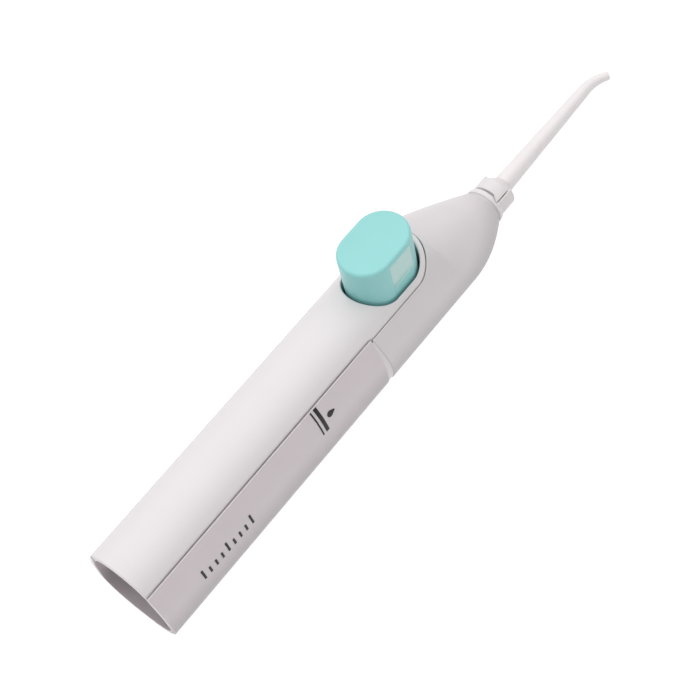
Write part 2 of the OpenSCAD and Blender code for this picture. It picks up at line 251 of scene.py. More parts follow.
def shell(skin: Skin, outer: Array, inner: Array, radius: float, open_rows: int | None = None) -> None:
    """Adds a wall with rolled edges between an outer and an inner grid.

    Args:
        skin: Where the surfaces go.
        outer: Outer surface, rows by columns by 3, short of its edges by the radius.
        inner: Inner surface, with as many rows and columns, out to its edges.
        radius: Radius of the outer edges.
        open_rows: Rows whose two ends are an open edge; past them the ends meet in a closed
            ring. None leaves all four sides open.
    """
    rows, cols = outer.shape[:2]
    last = rows - 1 if open_rows is None else open_rows
    across, up = np.arange(cols), np.arange(1, last + 1)
    parts = [(np.zeros(cols, int), across, np.ones(cols, int), across)]
    parts.append((up, np.full(last, cols - 1), up, np.full(last, cols - 2)))
    if open_rows is None:
        back = across[-2:0:-1]
        parts.append((np.full(len(back), last), back, np.full(len(back), last - 1), back))
        parts.append((up[::-1], np.zeros(last, int), up[::-1], np.ones(last, int)))
    else:
        parts.append((up[-2::-1], np.zeros(last - 1, int), up[-2::-1], np.ones(last - 1, int)))
    at_row, at_col, in_row, in_col = (np.concatenate([p[k] for p in parts]) for k in range(4))
    normal = grid_normals(outer)
    if np.sum(normal * (outer - inner)) < 0:
        normal = -normal
    rolled = rolled_rows(outer[at_row, at_col], normal[at_row, at_col], outer[in_row, in_col], radius)
    skin.grid(outer)
    skin.grid(inner)
    skin.grid(np.concatenate([rolled, inner[at_row, at_col][None]]), wrap_cols=True)
    if open_rows is not None:
        end = rolled_rows(outer[-1, :-1], normal[-1, :-1], outer[-2, :-1], radius)
        skin.grid(np.concatenate([end, inner[-1, :-1][None]]), wrap_cols=True)


def rounded_bar(low: Array, high: Array, radius: float) -> Array:
    """Box along X with all its edges rounded, as rings that shrink onto the middle of each end.

    Each ring is a rectangle whose corners are quarter circles. Towards an end the quarter
    circles shrink by radius * (1 - sin(t)) while the ring moves out by radius * (1 - cos(t)).

    Args:
        low: Lowest corner.
        high: Highest corner.
        radius: Radius of the edges.

    Returns:
        The grid, one ring a row, to be closed round its columns.
    """
    middle, half = (low[1:] + high[1:]) / 2, (high[1:] - low[1:]) / 2 - radius
    turn = np.linspace(0, 2 * math.pi, 32, endpoint=False) + math.pi / 32
    arc = np.stack([np.cos(turn), np.sin(turn)], axis=1)
    bend = np.linspace(0, math.pi / 2, 5)
    step, size = radius * (1 - np.cos(bend)), radius * np.sin(bend)
    run = np.linspace(low[0] + radius, high[0] - radius, 24)[1:-1]
    x = np.concatenate([low[:1], low[0] + step, run, high[0] - step[::-1], high[:1]])
    size = np.concatenate([[0], size, np.full(len(run), radius), size[::-1], [0]])
    spread = np.ones(len(size))
    spread[[0, -1]] = 0
    ring = middle + spread[:, None, None] * half * np.sign(arc) + size[:, None, None] * arc
    return np.concatenate([np.broadcast_to(x[:, None, None], (*ring.shape[:2], 1)), ring], axis=2)


def turned(x: float, y: float, profile: Array) -> Array:
    """Profile turned round an upright axis.

    Args:
        x: Where the axis is.
        y: Where the axis is.
        profile: Radius and height of each row.

    Returns:
        The grid, to be closed round its columns.
    """
    turn = np.linspace(0, 2 * math.pi, 48, endpoint=False)
    radius, height = profile[:, :1], profile[:, 1:]
    return np.stack([x + radius * np.cos(turn), y + radius * np.sin(turn), height + 0 * turn], axis=-1)


# ---------------------------------------------------------------- the body's form


@dataclass(frozen=True)
class BodyOutline:
    """Outline of the body across its length: one superellipse in front, one behind."""

    half_width: float = 17.5 * MM
    crown: float = 27 * MM
    back: float = 13.3 * MM
    widest: float = 12.8 * MM
    front_power: float = 2.4
    back_power: float = 2.1
    floor_drop: float = 0.3 * MM

    def at(self, angle: Array, inset: float = 0.0) -> tuple[Array, Array]:
        """Point of the outline at an angle from the front, towards +X.

        Args:
            angle: Angles in radians.
            inset: How far the outline is moved in.

        Returns:
            The x and z of each point.
        """
        sine, cosine = np.sin(angle), np.cos(angle)
        height = np.where(cosine >= 0, self.crown, self.back) - inset
        power = np.where(cosine >= 0, self.front_power, self.back_power)
        term = np.abs(sine / (self.half_width - inset)) ** power + np.abs(cosine / height) ** power
        reach = term ** (-1 / power)
        return reach * sine, np.maximum(max(inset - self.floor_drop, 0), self.widest + reach * cosine)

    def front(self, x: Array, inset: float = 0.0) -> Array:
        """Height of the front surface above the flat of the back.

        Args:
            x: Distance from the middle.
            inset: How far the surface is moved in.

        Returns:
            The z of each point.
        """
        share = np.clip(np.abs(x) / (self.half_width - inset), 0, 1) ** self.front_power
        return self.widest + (self.crown - inset) * (1 - share) ** (1 / self.front_power)

    def angle_at(self, x: Array, inset: float = 0.0) -> Array:
        """Angle of the front surface's point at a distance x from the middle."""
        return np.arctan2(x, self.front(x, inset) - self.widest)


@dataclass(frozen=True)
class BodyForm:
    """The sizes that the body's shells share, with y counted from the base rim."""

    outline: BodyOutline = field(default_factory=BodyOutline)
    wall: float = 2 * MM
    edge: float = 0.35 * MM
    seam: float = 0.4 * MM
    tank_top: float = 114.7 * MM
    head_low: float = 115.1 * MM
    head_gape: float = 2.4 * MM
    panel_half: float = 12.4 * MM
    arch_widening: float = 0.5 * MM
    arch_top: float = 154.8 * MM
    well_y: float = 137 * MM
    well_half_length: float = 15.5 * MM
    well_half_width: float = 11.1 * MM
    slope_front: float = 154 * MM
    slope_side: float = 167 * MM
    slope_end: float = 193 * MM
    flow_z: float = 8.4 * MM
    neck_radius: float = 8.2 * MM

    @property
    def arch_radius(self) -> float:
        """Radius of the front panel's arch."""
        return self.panel_half + self.arch_widening

    @property
    def arch_y(self) -> float:
        """Centre of the front panel's arch."""
        return self.arch_top - self.arch_radius

    def panel_edge(self, y: Array) -> Array:
        """Half of the front panel's width at y, a little more beside the head."""
        widening = smooth_step(y, self.tank_top - MM / 2, self.head_low + MM / 2)
        return self.panel_half + self.arch_widening * widening

    def ring(self, y: Array, angle: Array, inset: float = 0.0) -> Array:
        """Points of the head and body: the outline, drawn in to the round neck.

        The front slopes straight from the arch. The sides keep their width for longer and
        then round in, because their share of the way starts later and grows as a power.

        Args:
            y: Distance from the base rim.
            angle: Angle from the front.
            inset: How far the surface is moved in.

        Returns:
            The points, by 3.
        """
        side = np.minimum(1, 0.8 * (1 - np.cos(angle)))
        start = self.slope_front + (self.slope_side - self.slope_front) * side
        share = np.clip((y - start) / (self.slope_end - start), 0, 1) ** (1.05 + 0.75 * side)
        x, z = self.outline.at(angle, inset)
        neck_x = (self.neck_radius - inset) * np.sin(angle)
        neck_z = self.flow_z + (self.neck_radius - inset) * np.cos(angle)
        return np.stack([x + (neck_x - x) * share, y + 0 * x, z + (neck_z - z) * share], axis=-1)

    def polar(self, radius: Array, y: Array, angle: Array) -> Array:
        """Points round the water path's axis, with the angle from the front."""
        across, along, turn = np.broadcast_arrays(radius, y, angle)
        return np.stack([across * np.sin(turn), along, self.flow_z + across * np.cos(turn)], axis=-1)


@dataclass(frozen=True)
class HeadHousing:
    """Rear upper shell, its neck ring and the cradle that holds the tip's collar."""

    form: BodyForm
    columns: int = 161
    straight_rows: int = 30
    arch_rows: int = 30
    slope_rows: int = 60
    lip_inset: float = 0.35 * MM
    ring_top: float = 196.4 * MM
    notch_from: float = 24.0
    notch_to: float = 48.0
    notch_depth: float = 1.6 * MM
    cradle_inner: float = 6.1 * MM
    cradle_outer: float = 7.2 * MM
    cradle_top: float = 204.2 * MM
    cradle_open: float = 52.0
    cheek_edge: float = 0.4 * MM

    def _grid(self, inset: float, back_off: float) -> Array:
        """One surface of the head, back_off short of its edges.

        Args:
            inset: How far inside the outer surface it lies.
            back_off: How far short of the edges it stops.

        Returns:
            The surface's points, row by row.
        """
        form = self.form
        radius = form.arch_radius + form.seam / 2 + back_off
        straight = np.linspace(form.head_low + back_off, form.arch_y, self.straight_rows, endpoint=False)
        rise = np.linspace(0, math.pi / 2, self.arch_rows)
        arch = form.arch_y + radius * np.sin(rise)
        slope = np.linspace(arch[-1], form.slope_end - back_off, self.slope_rows + 1)[1:]
        y = np.concatenate([straight, arch, slope])
        half = np.concatenate([np.full(len(straight), radius), radius * np.cos(rise), np.zeros(len(slope))])
        start = form.outline.angle_at(half, inset)[:, None]
        angle = start + (2 * math.pi - 2 * start) * np.linspace(0, 1, self.columns)
        gape = form.head_gape * smooth_step(np.abs(np.sin(angle / 2)), 0.2, 0.72)
        fade = np.clip(1 - (y[:, None] - form.head_low) / (10 * MM), 0, 1)
        return form.ring(y[:, None] + gape * fade, angle, inset)

    def shell(self, skin: Skin) -> None:
        """Adds the wall of the head.

        Args:
            skin: The skin that the surface is added to.
        """
        edge = self.form.edge
        outer, inner = self._grid(0.0, edge), self._grid(self.form.wall, 0.0)
        shell(skin, outer, inner, edge, self.straight_rows + self.arch_rows - 1)

    def lip(self, skin: Skin) -> None:
        """Adds the thin lip that stands in the gap between the head and the reservoir.

        Args:
            skin: The skin that the surface is added to.
        """
        form = self.form
        start = form.outline.angle_at(np.array(form.arch_radius + MM / 2), self.lip_inset)
        angle = np.linspace(start, 2 * math.pi - start, self.columns)
        y = np.linspace(form.tank_top + 0.1 * MM, form.head_low + form.head_gape + MM, 8)[:, None]
        outer = form.ring(y, angle, self.lip_inset)
        inner = form.ring(y, angle, self.lip_inset + MM)
        shell(skin, outer, inner, 0.15 * MM)

    def neck_ring(self, skin: Skin) -> None:
        """Adds the groove and the ring of the neck, notched for the collar's lug.

        Args:
            skin: The skin that the surface is added to.
        """
        form = self.form
        profile = np.array([
            (6.05, 187.0), (7.3, 191.0), (7.25, 193.5), (7.45, 193.85), (7.85, 194.0), (8.05, 194.3),
            (7.95, 195.3), (7.7, 196.0), (7.5, 196.3), (7.25, 196.4), (6.25, 196.4), (6.05, 196.2),
        ]) * MM
        degrees = np.linspace(0, 360, 480, endpoint=False)
        share = np.clip((degrees - self.notch_from) / (self.notch_to - self.notch_from), 0, 1)
        notch = self.notch_depth * share * (degrees < self.notch_to)
        y = np.minimum(profile[:, 1:], self.ring_top - notch)
        skin.grid(form.polar(profile[:, :1], y, np.radians(degrees)), wrap_rows=True, wrap_cols=True)

    def cradle(self, skin: Skin) -> None:
        """Adds the U-shaped cheeks round the collar.

        A rounded strip is swept round the axis. At each end it shrinks by edge * (1 - sin(t))
        while it moves on by edge * (1 - cos(t)), which rounds the cheeks' front edges.

        Args:
            skin: The skin that the surface is added to.
        """
        low = 196.2 * MM
        middle = np.array([(self.cradle_inner + self.cradle_outer) / 2, (low + self.cradle_top) / 2])
        half = np.array([self.cradle_outer - self.cradle_inner, self.cradle_top - low]) / 2 - self.cheek_edge
        turn = np.linspace(0, 2 * math.pi, 48, endpoint=False) + math.pi / 48
        arc = np.stack([np.cos(turn), np.sin(turn)], axis=1)
        bend = np.linspace(0, math.pi / 2, 6)
        step = np.degrees(self.cheek_edge * (1 - np.cos(bend)) / middle[0])
        start, end = self.cradle_open, 360 - self.cradle_open
        run = np.linspace(start + step[-1], end - step[-1], 150)[1:-1]
        sweep = np.concatenate([[start], start + step, run, end - step[::-1], [end]])
        size = self.cheek_edge * np.sin(bend)
        size = np.concatenate([[0], size, np.full(len(run), self.cheek_edge), size[::-1], [0]])
        spread = np.ones(len(size))
        spread[[0, -1]] = 0
        profile = middle + spread[:, None, None] * half * np.sign(arc) + size[:, None, None] * arc
        points = self.form.polar(profile[..., 0], profile[..., 1], np.radians(sweep)[:, None])
        skin.grid(points, wrap_cols=True)


@dataclass(frozen=True)
class FrontPanel:
    """Crowned strip along the front, with the button's well and its sleeve."""

    form: BodyForm
    base_count: int = 60
    side_count: int = 120
    arch_count: int = 100
    skin_rows: int = 26
    sleeve_low: float = 30 * MM
    sleeve_wall: float = 1.1 * MM
    well_edge: float = 0.7 * MM

    def _outer(self, inward: float) -> Array:
        """The panel's edge in plan, moved inward: base, +X side, arch, -X side.

        Args:
            inward: How far the edge is moved towards the panel's middle.

        Returns:
            The edge's points.
        """
        form = self.form
        half = form.panel_half - inward
        base = np.linspace(-half, half, self.base_count, endpoint=False)
        y = np.linspace(inward, form.arch_y, self.side_count, endpoint=False)
        side = form.panel_edge(y) - inward
        turn = np.linspace(0, math.pi, self.arch_count, endpoint=False)
        radius = form.arch_radius - inward
        arch = np.stack([radius * np.cos(turn), form.arch_y + radius * np.sin(turn)], axis=1)
        left_y = np.linspace(form.arch_y, inward, self.side_count, endpoint=False)
        left = form.panel_edge(left_y) - inward
        parts = [np.stack([base, np.full(len(base), inward)], axis=1), np.stack([side, y], axis=1)]
        return np.concatenate([*parts, arch, np.stack([-left, left_y], axis=1)])

    def _well(self, outward: float) -> Array:
        """The well's edge in plan, moved outward, point for point with the panel's edge.

        Args:
            outward: How far the edge is moved away from the well.

        Returns:
            The edge's points.
        """
        form = self.form
        radius = form.well_half_width + outward
        flat = form.well_half_length - form.well_half_width
        spread = math.radians(55)
        low = np.linspace(-math.pi / 2 - spread, -math.pi / 2 + spread, self.base_count, endpoint=False)
        bend = int(self.side_count * 0.8)
        right = np.linspace(-math.pi / 2 + spread, 0, bend, endpoint=False)
        climb = np.linspace(-flat, flat, self.side_count - bend, endpoint=False)
        top = np.linspace(0, math.pi, self.arch_count, endpoint=False)
        left = np.linspace(math.pi, 3 * math.pi / 2 - spread, bend + 1)[1:]
        turn = np.concatenate([low, right, 0 * climb, top, math.pi + 0 * climb, left])
        start, end = np.full(len(low) + len(right), -flat), np.full(len(left), -flat)
        shift = np.concatenate([start, climb, np.full(len(top), flat), -climb, end])
        return np.stack([radius * np.cos(turn), form.well_y + shift + radius * np.sin(turn)], axis=1)

    def _lift(self, plan: Array, inset: float = 0.0, sink: Array | float = 0.0) -> Array:
        """Puts plan points onto the front surface, sunk by some depth."""
        height = self.form.outline.front(plan[..., 0], inset) - sink
        return np.concatenate([plan, height[..., None]], axis=-1)

    def _edge_rows(self, loop: Callable[[float], Array], radius: float) -> Array:
        """Rows that roll an upright edge over, from the surface to the wall below.

        Args:
            loop: Gives the edge in plan for a distance moved.
            radius: The radius of the rolled edge.

        Returns:
            The rows of points.
        """
        rows = []
        for turn in np.linspace(0, math.pi / 2, 6):
            rows.append(self._lift(loop(radius * (1 - math.sin(turn))), sink=radius * (1 - math.cos(turn))))
        return np.stack(rows)

    def shell(self, skin: Skin) -> None:
        """Adds the panel as one closed surface: skin, edges, inner side and sleeve.

        Args:
            skin: The skin that the surface is added to.
        """
        form = self.form
        gap = form.seam / 2
        outer_edge = self._edge_rows(lambda back: self._outer(back + gap), form.edge)
        well_edge = self._edge_rows(self._well, self.well_edge)
        share = np.linspace(0, 1, self.skin_rows)[1:-1, None, None]
        near, far = self._well(self.well_edge), self._outer(form.edge + gap)
        top = self._lift(near + (far - near) * share)
        rim, sleeve = self._outer(gap + 0.02 * MM), self._well(self.sleeve_wall)
        under = self._lift(rim + (sleeve - rim) * np.linspace(0, 1, 10)[:, None, None], form.wall + 0.2 * MM)

        def level(plan: Array, z: float) -> Array:
            """One row of points: a plan laid at height z."""
            return np.concatenate([plan, np.full((len(plan), 1), z)], axis=1)[None]

        below = [level(sleeve, self.sleeve_low), level(self._well(0.0), self.sleeve_low)]
        rows = np.concatenate([top, outer_edge, under, *below, well_edge[::-1]])
        skin.grid(rows, wrap_rows=True, wrap_cols=True)


@dataclass(frozen=True)
class InnerBracing:
    """What stands on the inside of the two white shells: rails, a cross wall and screw bosses."""

    form: BodyForm
    rail_x: tuple[float, float] = (9.6 * MM, 11.2 * MM)
    rail_y: tuple[float, float] = (3 * MM, 114 * MM)
    wall_y: tuple[float, float] = (8 * MM, 10 * MM)
    low: float = 27.1 * MM
    high: float = 34 * MM
    bite: float = 1.2 * MM
    edge: float = 0.25 * MM
    boss_x: float = 7 * MM
    panel_boss_y: float = 118 * MM
    head_boss_y: float = 156 * MM
    boss_radius: float = 2.6 * MM
    hole_radius: float = 1.05 * MM
    plate: tuple[float, float] = (14.4 * MM, 16.4 * MM)

    def _up_to_panel(self, grid: Array) -> Array:
        """Stretches a grid upwards so that its top runs inside the panel's wall.

        Args:
            grid: The points to stretch.

        Returns:
            The stretched points.
        """
        top = self.form.outline.front(grid[..., 0], self.bite)
        share = (grid[..., 2] - self.low) / (self.high - self.low)
        return np.concatenate([grid[..., :2], (self.low + share * (top - self.low))[..., None]], axis=2)

    def rails(self, skin: Skin) -> None:
        """Adds the two rails that the tank slides on.

        Args:
            skin: The skin that the surface is added to.
        """
        low = np.array([self.rail_y[0], -self.rail_x[1], self.low])
        high = np.array([self.rail_y[1], -self.rail_x[0], self.high])
        bar = rounded_bar(low, high, self.edge)[..., [1, 0, 2]]
        skin.grid(self._up_to_panel(bar), wrap_cols=True)
        skin.grid(self._up_to_panel(bar * np.array([-1, 1, 1])), wrap_cols=True)

    def cross_wall(self, skin: Skin) -> None:
        """Adds the wall across the base, under the panel.

        Args:
            skin: The skin that the surface is added to.
        """
        low = np.array([-self.rail_x[1], self.wall_y[0], self.low])
        high = np.array([self.rail_x[1], self.wall_y[1], self.high])
        skin.grid(self._up_to_panel(rounded_bar(low, high, self.edge)), wrap_cols=True)

    def _boss(self, skin: Skin, y: float, foot: float, face: float, depth: float) -> None:
        """Adds a pair of bosses from a foot in the shell to an open face, with blind holes.

        Args:
            skin: The skin that the surface is added to.
            y: Where the pair stands along the body.
            foot: Where the bosses start.
            face: Where their open face lies.
            depth: The depth of the blind holes.
        """
        back = math.copysign(self.edge, foot - face)
        rows = np.array([
            (0, foot), (self.boss_radius, foot), (self.boss_radius, face + back),
            (self.boss_radius - 0.3 * self.edge, face + 0.3 * back), (self.boss_radius - self.edge, face),
            (self.hole_radius, face), (self.hole_radius, face + math.copysign(depth, foot - face)),
            (0, face + math.copysign(depth, foot - face)),
        ])
        for x in (-self.boss_x, self.boss_x):
            skin.grid(turned(x, y, rows), wrap_cols=True)

    def panel_bosses(self, skin: Skin) -> None:
        """Adds the panel's bosses, which reach down to the pump's frame."""
        foot = float(self.form.outline.front(np.array(self.boss_x), self.bite)) - 0.6 * MM
        self._boss(skin, self.panel_boss_y, foot, self.plate[1], 13 * MM)

    def head_bosses(self, skin: Skin) -> None:
        """Adds the head's bosses, which reach up to the pump's frame."""
        self._boss(skin, self.head_boss_y, self.form.wall - 0.8 * MM, self.plate[0], 9 * MM)


@dataclass(frozen=True)
class Reservoir:
    """Translucent tank behind the front panel, with its flat front wall and its top wall."""

    form: BodyForm
    columns: int = 161
    rows: int = 110
    side_gap: float = 0.35 * MM
    front_z: float = 26.8 * MM
    floor_y: float = 8 * MM
    top_wall: float = 2.4 * MM
    mouth: float = 5.6 * MM

    def shell(self, skin: Skin) -> None:
        """Adds the outer wall.

        Args:
            skin: The skin that the surface is added to.
        """
        form = self.form
        grids = []
        for inset, back_off in ((0.0, form.edge), (form.wall, 0.0)):
            start = form.outline.angle_at(np.array(form.panel_half + self.side_gap + back_off), inset)
            angle = np.linspace(start, 2 * math.pi - start, self.columns)
            y = np.linspace(back_off, form.tank_top - back_off, self.rows)[:, None]
            grids.append(form.ring(y, angle, inset))
        shell(skin, grids[0], grids[1], form.edge)

    def front_wall(self, skin: Skin) -> None:
        """Adds the flat wall that closes the tank below the front panel.

        Args:
            skin: The skin that the surface is added to.
        """
        form = self.form
        high = self.front_z - form.outline.widest
        inset = form.wall - 0.3 * MM
        share = (high / (form.outline.crown - inset)) ** form.outline.front_power
        half = (form.outline.half_width - inset) * (1 - share) ** (1 / form.outline.front_power)
        x = np.linspace(-half, half, 24)
        y = np.linspace(self.floor_y, form.tank_top - 0.05 * MM, 40)[:, None]
        flat = np.stack(np.broadcast_arrays(x, y, self.front_z), axis=-1)
        shell(skin, flat, flat - np.array([0, 0, form.wall]), 0.05 * MM)

    def top(self, skin: Skin) -> None:
        """Adds the top wall: a plate between the outer wall and the round mouth.

        Args:
            skin: The skin that the surface is added to.
        """
        form = self.form
        angle = np.linspace(0, 2 * math.pi, 160, endpoint=False)
        x, z = form.outline.at(angle, form.wall - 0.2 * MM)
        rim = np.stack([x, np.minimum(z, self.front_z - 0.1 * MM)], axis=1)
        hole = np.stack([self.mouth * np.sin(angle), form.flow_z + self.mouth * np.cos(angle)], axis=1)
        high, low = form.tank_top - 0.1 * MM, form.tank_top - self.top_wall
        rounding = 0.3 * MM
        near = 1 - rounding / (8 * MM)
        rows = [(0.0, high), (0.5, high), (near, high), (1.0, high - rounding), (1.0, low), (0.0, low)]
        flat = np.stack([rim + (hole - rim) * share for share, _ in rows])
        y = np.array([height for _, height in rows])[:, None]
        points = np.stack([flat[..., 0], y + 0 * flat[..., 0], flat[..., 1]], axis=-1)
        skin.grid(points, wrap_rows=True, wrap_cols=True)


@dataclass(frozen=True)
class PrintedMarks:
    """Ink on the reservoir's side: a fill line with a drop above it, and a plain scale."""

    form: BodyForm
    lift: float = 0.04 * MM
    line_y: float = 82.6 * MM
    drop_y: float = 87.0 * MM
    scale_from: float = 19 * MM
    scale_to: float = 43 * MM
    ticks: int = 9

    def _patch(self, skin: Skin, across: Array, along: Array) -> None:
        """Adds a thin patch of ink.

        Args:
            skin: Where it goes.
            across: Distance round the outline from the seam, rows by columns.
            along: Distance from the base rim, rows by columns.
        """
        angle = np.linspace(0.3, math.pi, 2000)
        x, z = self.form.outline.at(angle)
        length = np.concatenate([[0], np.cumsum(np.hypot(np.diff(x), np.diff(z)))])
        start = np.interp(self.form.outline.angle_at(np.array(self.form.panel_half)), angle, length)
        turn = np.interp(start + across, length, angle)
        outer = self.form.ring(along, turn, -self.lift)
        shell(skin, outer, self.form.ring(along, turn, 0.02 * MM), 0.015 * MM)

    def _bar(self, skin: Skin, across: tuple[float, float], along: tuple[float, float]) -> None:
        """Adds a straight bar of ink between two distances across and along."""
        wide, long = np.meshgrid(np.linspace(*across, 14), np.linspace(*along, 6))
        self._patch(skin, wide * MM, long)

    def level(self, skin: Skin) -> None:
        """Adds the fill line: a long bar over a thinner one.

        Args:
            skin: The skin that the surface is added to.
        """
        y = self.line_y
        self._bar(skin, (1.4, 13.4), (y, y + 1.5 * MM))
        self._bar(skin, (1.4, 13.4), (y - 1.7 * MM, y - 1.1 * MM))

    def drop(self, skin: Skin) -> None:
        """Adds the drop: a disc whose far side is drawn out to a point.

        Args:
            skin: The skin that the surface is added to.
        """
        turn, share = np.meshgrid(np.linspace(0, 2 * math.pi, 49), np.linspace(0.02, 1, 8))
        point = 1 + 0.75 * np.maximum(0, np.cos(turn)) ** 6
        across = 8.2 * MM + 1.35 * MM * share * np.sin(turn)
        along = self.drop_y + 1.35 * MM * share * np.cos(turn) * point
        self._patch(skin, across, along)

    def scale(self, skin: Skin) -> None:
        """Adds the scale's ticks, every fourth one longer."""
        for number, y in enumerate(np.linspace(self.scale_from, self.scale_to, self.ticks)):
            reach = 5.0 if number % 4 == 0 else 3.2
            self._bar(skin, (15.4 - reach, 15.4), (y - 0.45 * MM, y + 0.45 * MM))


@dataclass(frozen=True)
class PumpButton:
    """Hollow thumb button: upright sides, a rounded top edge, a slight dish and side recesses with a painted
    highlight.
    """

    form: BodyForm
    half_length: float = 14.5 * MM
    half_width: float = 10.2 * MM
    top: float = 54.6 * MM
    low: float = 28.9 * MM
    edge: float = 1.3 * MM
    dish: float = 0.55 * MM
    wall: float = 1.5 * MM
    roof: float = 2 * MM
    recess_face: float = 9.4 * MM
    recess_y: tuple[float, float] = (132.8 * MM, 144.6 * MM)
    recess_z: tuple[float, float] = (39.5 * MM, 52.4 * MM)
    columns: int = 300

    def _plan(self, inward: float, share: float = 1.0) -> Array:
        """The button's outline in plan, moved inward, and drawn in to its middle line by 1 - share.

        Args:
            inward: How far the outline is moved inward.
            share: How much of its width is kept, 1 for all of it.

        Returns:
            The outline's points.
        """
        radius = self.half_width - inward
        flat = self.half_length - self.half_width
        round_part = math.pi * self.half_width
        run = np.linspace(0, 2 * round_part + 4 * flat, self.columns, endpoint=False)
        turn = np.clip(run / self.half_width, 0, math.pi)
        down = np.clip(run - round_part, 0, 2 * flat)
        turn = turn + np.clip((run - round_part - 2 * flat) / self.half_width, 0, math.pi)
        up = np.clip(run - 2 * round_part - 2 * flat, 0, 2 * flat)
        middle = flat - down + up
        return np.stack([share * radius * np.cos(turn), middle + share * radius * np.sin(turn)], axis=1)

    def shell(self, skin: Skin) -> None:
        """Adds the button as one closed surface, from the dish over the sides to the inside.

        Args:
            skin: The skin that the surface is added to.
        """
        plans, heights = [], []

        def row(inward: float, z: float, share: float = 1.0) -> None:
            """Keeps one row: a plan and its height."""
            plans.append(self._plan(inward, share))
            heights.append(z)

        for share in np.linspace(0, 1, 26)[:-1]:
            row(self.edge, self.top - self.dish * (1 - share**2.2), share)
        for t in np.linspace(0, math.pi / 2, 12):
            row(self.edge * (1 - math.sin(t)), self.top - self.edge * (1 - math.cos(t)))
        for z in np.linspace(self.top - self.edge, self.low + 0.2 * MM, 76)[1:]:
            row(0.0, z)
        row(0.2 * MM, self.low)
        row(self.wall, self.low)
        row(self.wall, self.top - self.roof)
        row(self.wall, self.top - self.roof, 0.0)
        plan, z = np.stack(plans), np.array(heights)[:, None]
        points = np.concatenate([plan, z[..., None] + 0 * plan[..., :1]], axis=2)
        points[..., 1] += self.form.well_y
        outside = (np.abs(points[..., 0]) > self.recess_face) & (z < self.top - self.edge + MM / 10)
        low, high = self.recess_y
        soft = 0.3 * MM
        # Mask of the side recesses: it sinks the points into them and also carries a painted highlight, a
        # paler colour for the light that the recesses catch
        recess_and_highlight = smooth_step(points[..., 1], low, low + soft) * smooth_step(points[..., 1], high, high - soft)
        low, high = self.recess_z
        recess_and_highlight = recess_and_highlight * smooth_step(z, low, low + soft) * smooth_step(z, high, high - soft) * outside
        side = np.sign(points[..., 0])
        points[..., 0] -= recess_and_highlight * side * np.maximum(0, np.abs(points[..., 0]) - self.recess_face)
        skin.grid(points, wrap_cols=True, painted_highlight=recess_and_highlight)


@dataclass(frozen=True)
class TipCollar:
    """Block round the foot of the jet tip, with a flat front and one lug that keys into the neck."""

    form: BodyForm
    low: float = 197.5 * MM
    side: float = 202.4 * MM
    high: float = 206 * MM
    front_half: float = 48.5
    lug_from: float = 26.0
    lug_to: float = 46.0
    lug_drop: float = 1.95 * MM

    def shell(self, skin: Skin) -> None:
        """Adds the collar: a profile turned round the axis, wider and lower where it faces front.

        Args:
            skin: The skin that the surface is added to.
        """
        degrees = np.linspace(-180, 180, 480, endpoint=False)
        front = smooth_step(np.abs(degrees), self.front_half + 1, self.front_half - 1)
        share = np.clip((degrees - self.lug_from) / (self.lug_to - self.lug_from), 0, 1)
        lug = self.lug_drop * share * smooth_step(degrees, self.lug_to + 2, self.lug_to + 0.5)
        foot = (self.low - lug)[None]
        rows = [(5.0, 5.0, -0.7), (5.0, 5.0, 0.0), (5.5, 6.8, 0.0), (5.7, 7.0, 0.1), (5.8, 7.1, 0.35)]
        small = np.array([r[0] for r in rows])[:, None] * MM
        wide = np.array([r[1] for r in rows])[:, None] * MM
        lifted = np.array([r[2] for r in rows])[:, None] * MM
        radius = small + (wide - small) * front
        y = np.where(lifted < 0, self.low + lifted, foot + lifted)
        side = np.array([0.0, 0.15, 0.4])[:, None] * MM
        upper = (5.8 + 1.3 * front) * MM - np.array([0.0, 0.02, 0.15])[:, None] * MM
        cone = np.linspace(0, 1, 12)[1:, None]
        slope = upper[-1] + (4.35 * MM - upper[-1]) * cone
        lift = self.side + side[-1] + (self.high - 0.15 * MM - self.side - side[-1]) * cone
        end = np.array([(4.2, 206.0), (3.62, 206.0), (3.62, 196.8)])[:, :, None] * MM
        radii = [radius, upper, slope, end[:, 0] + 0 * front]
        heights = [y, self.side + side + 0 * front, lift + 0 * front, end[:, 1] + 0 * front]
        points = self.form.polar(np.concatenate(radii), np.concatenate(heights), np.radians(degrees))
        skin.grid(points, wrap_rows=True, wrap_cols=True)


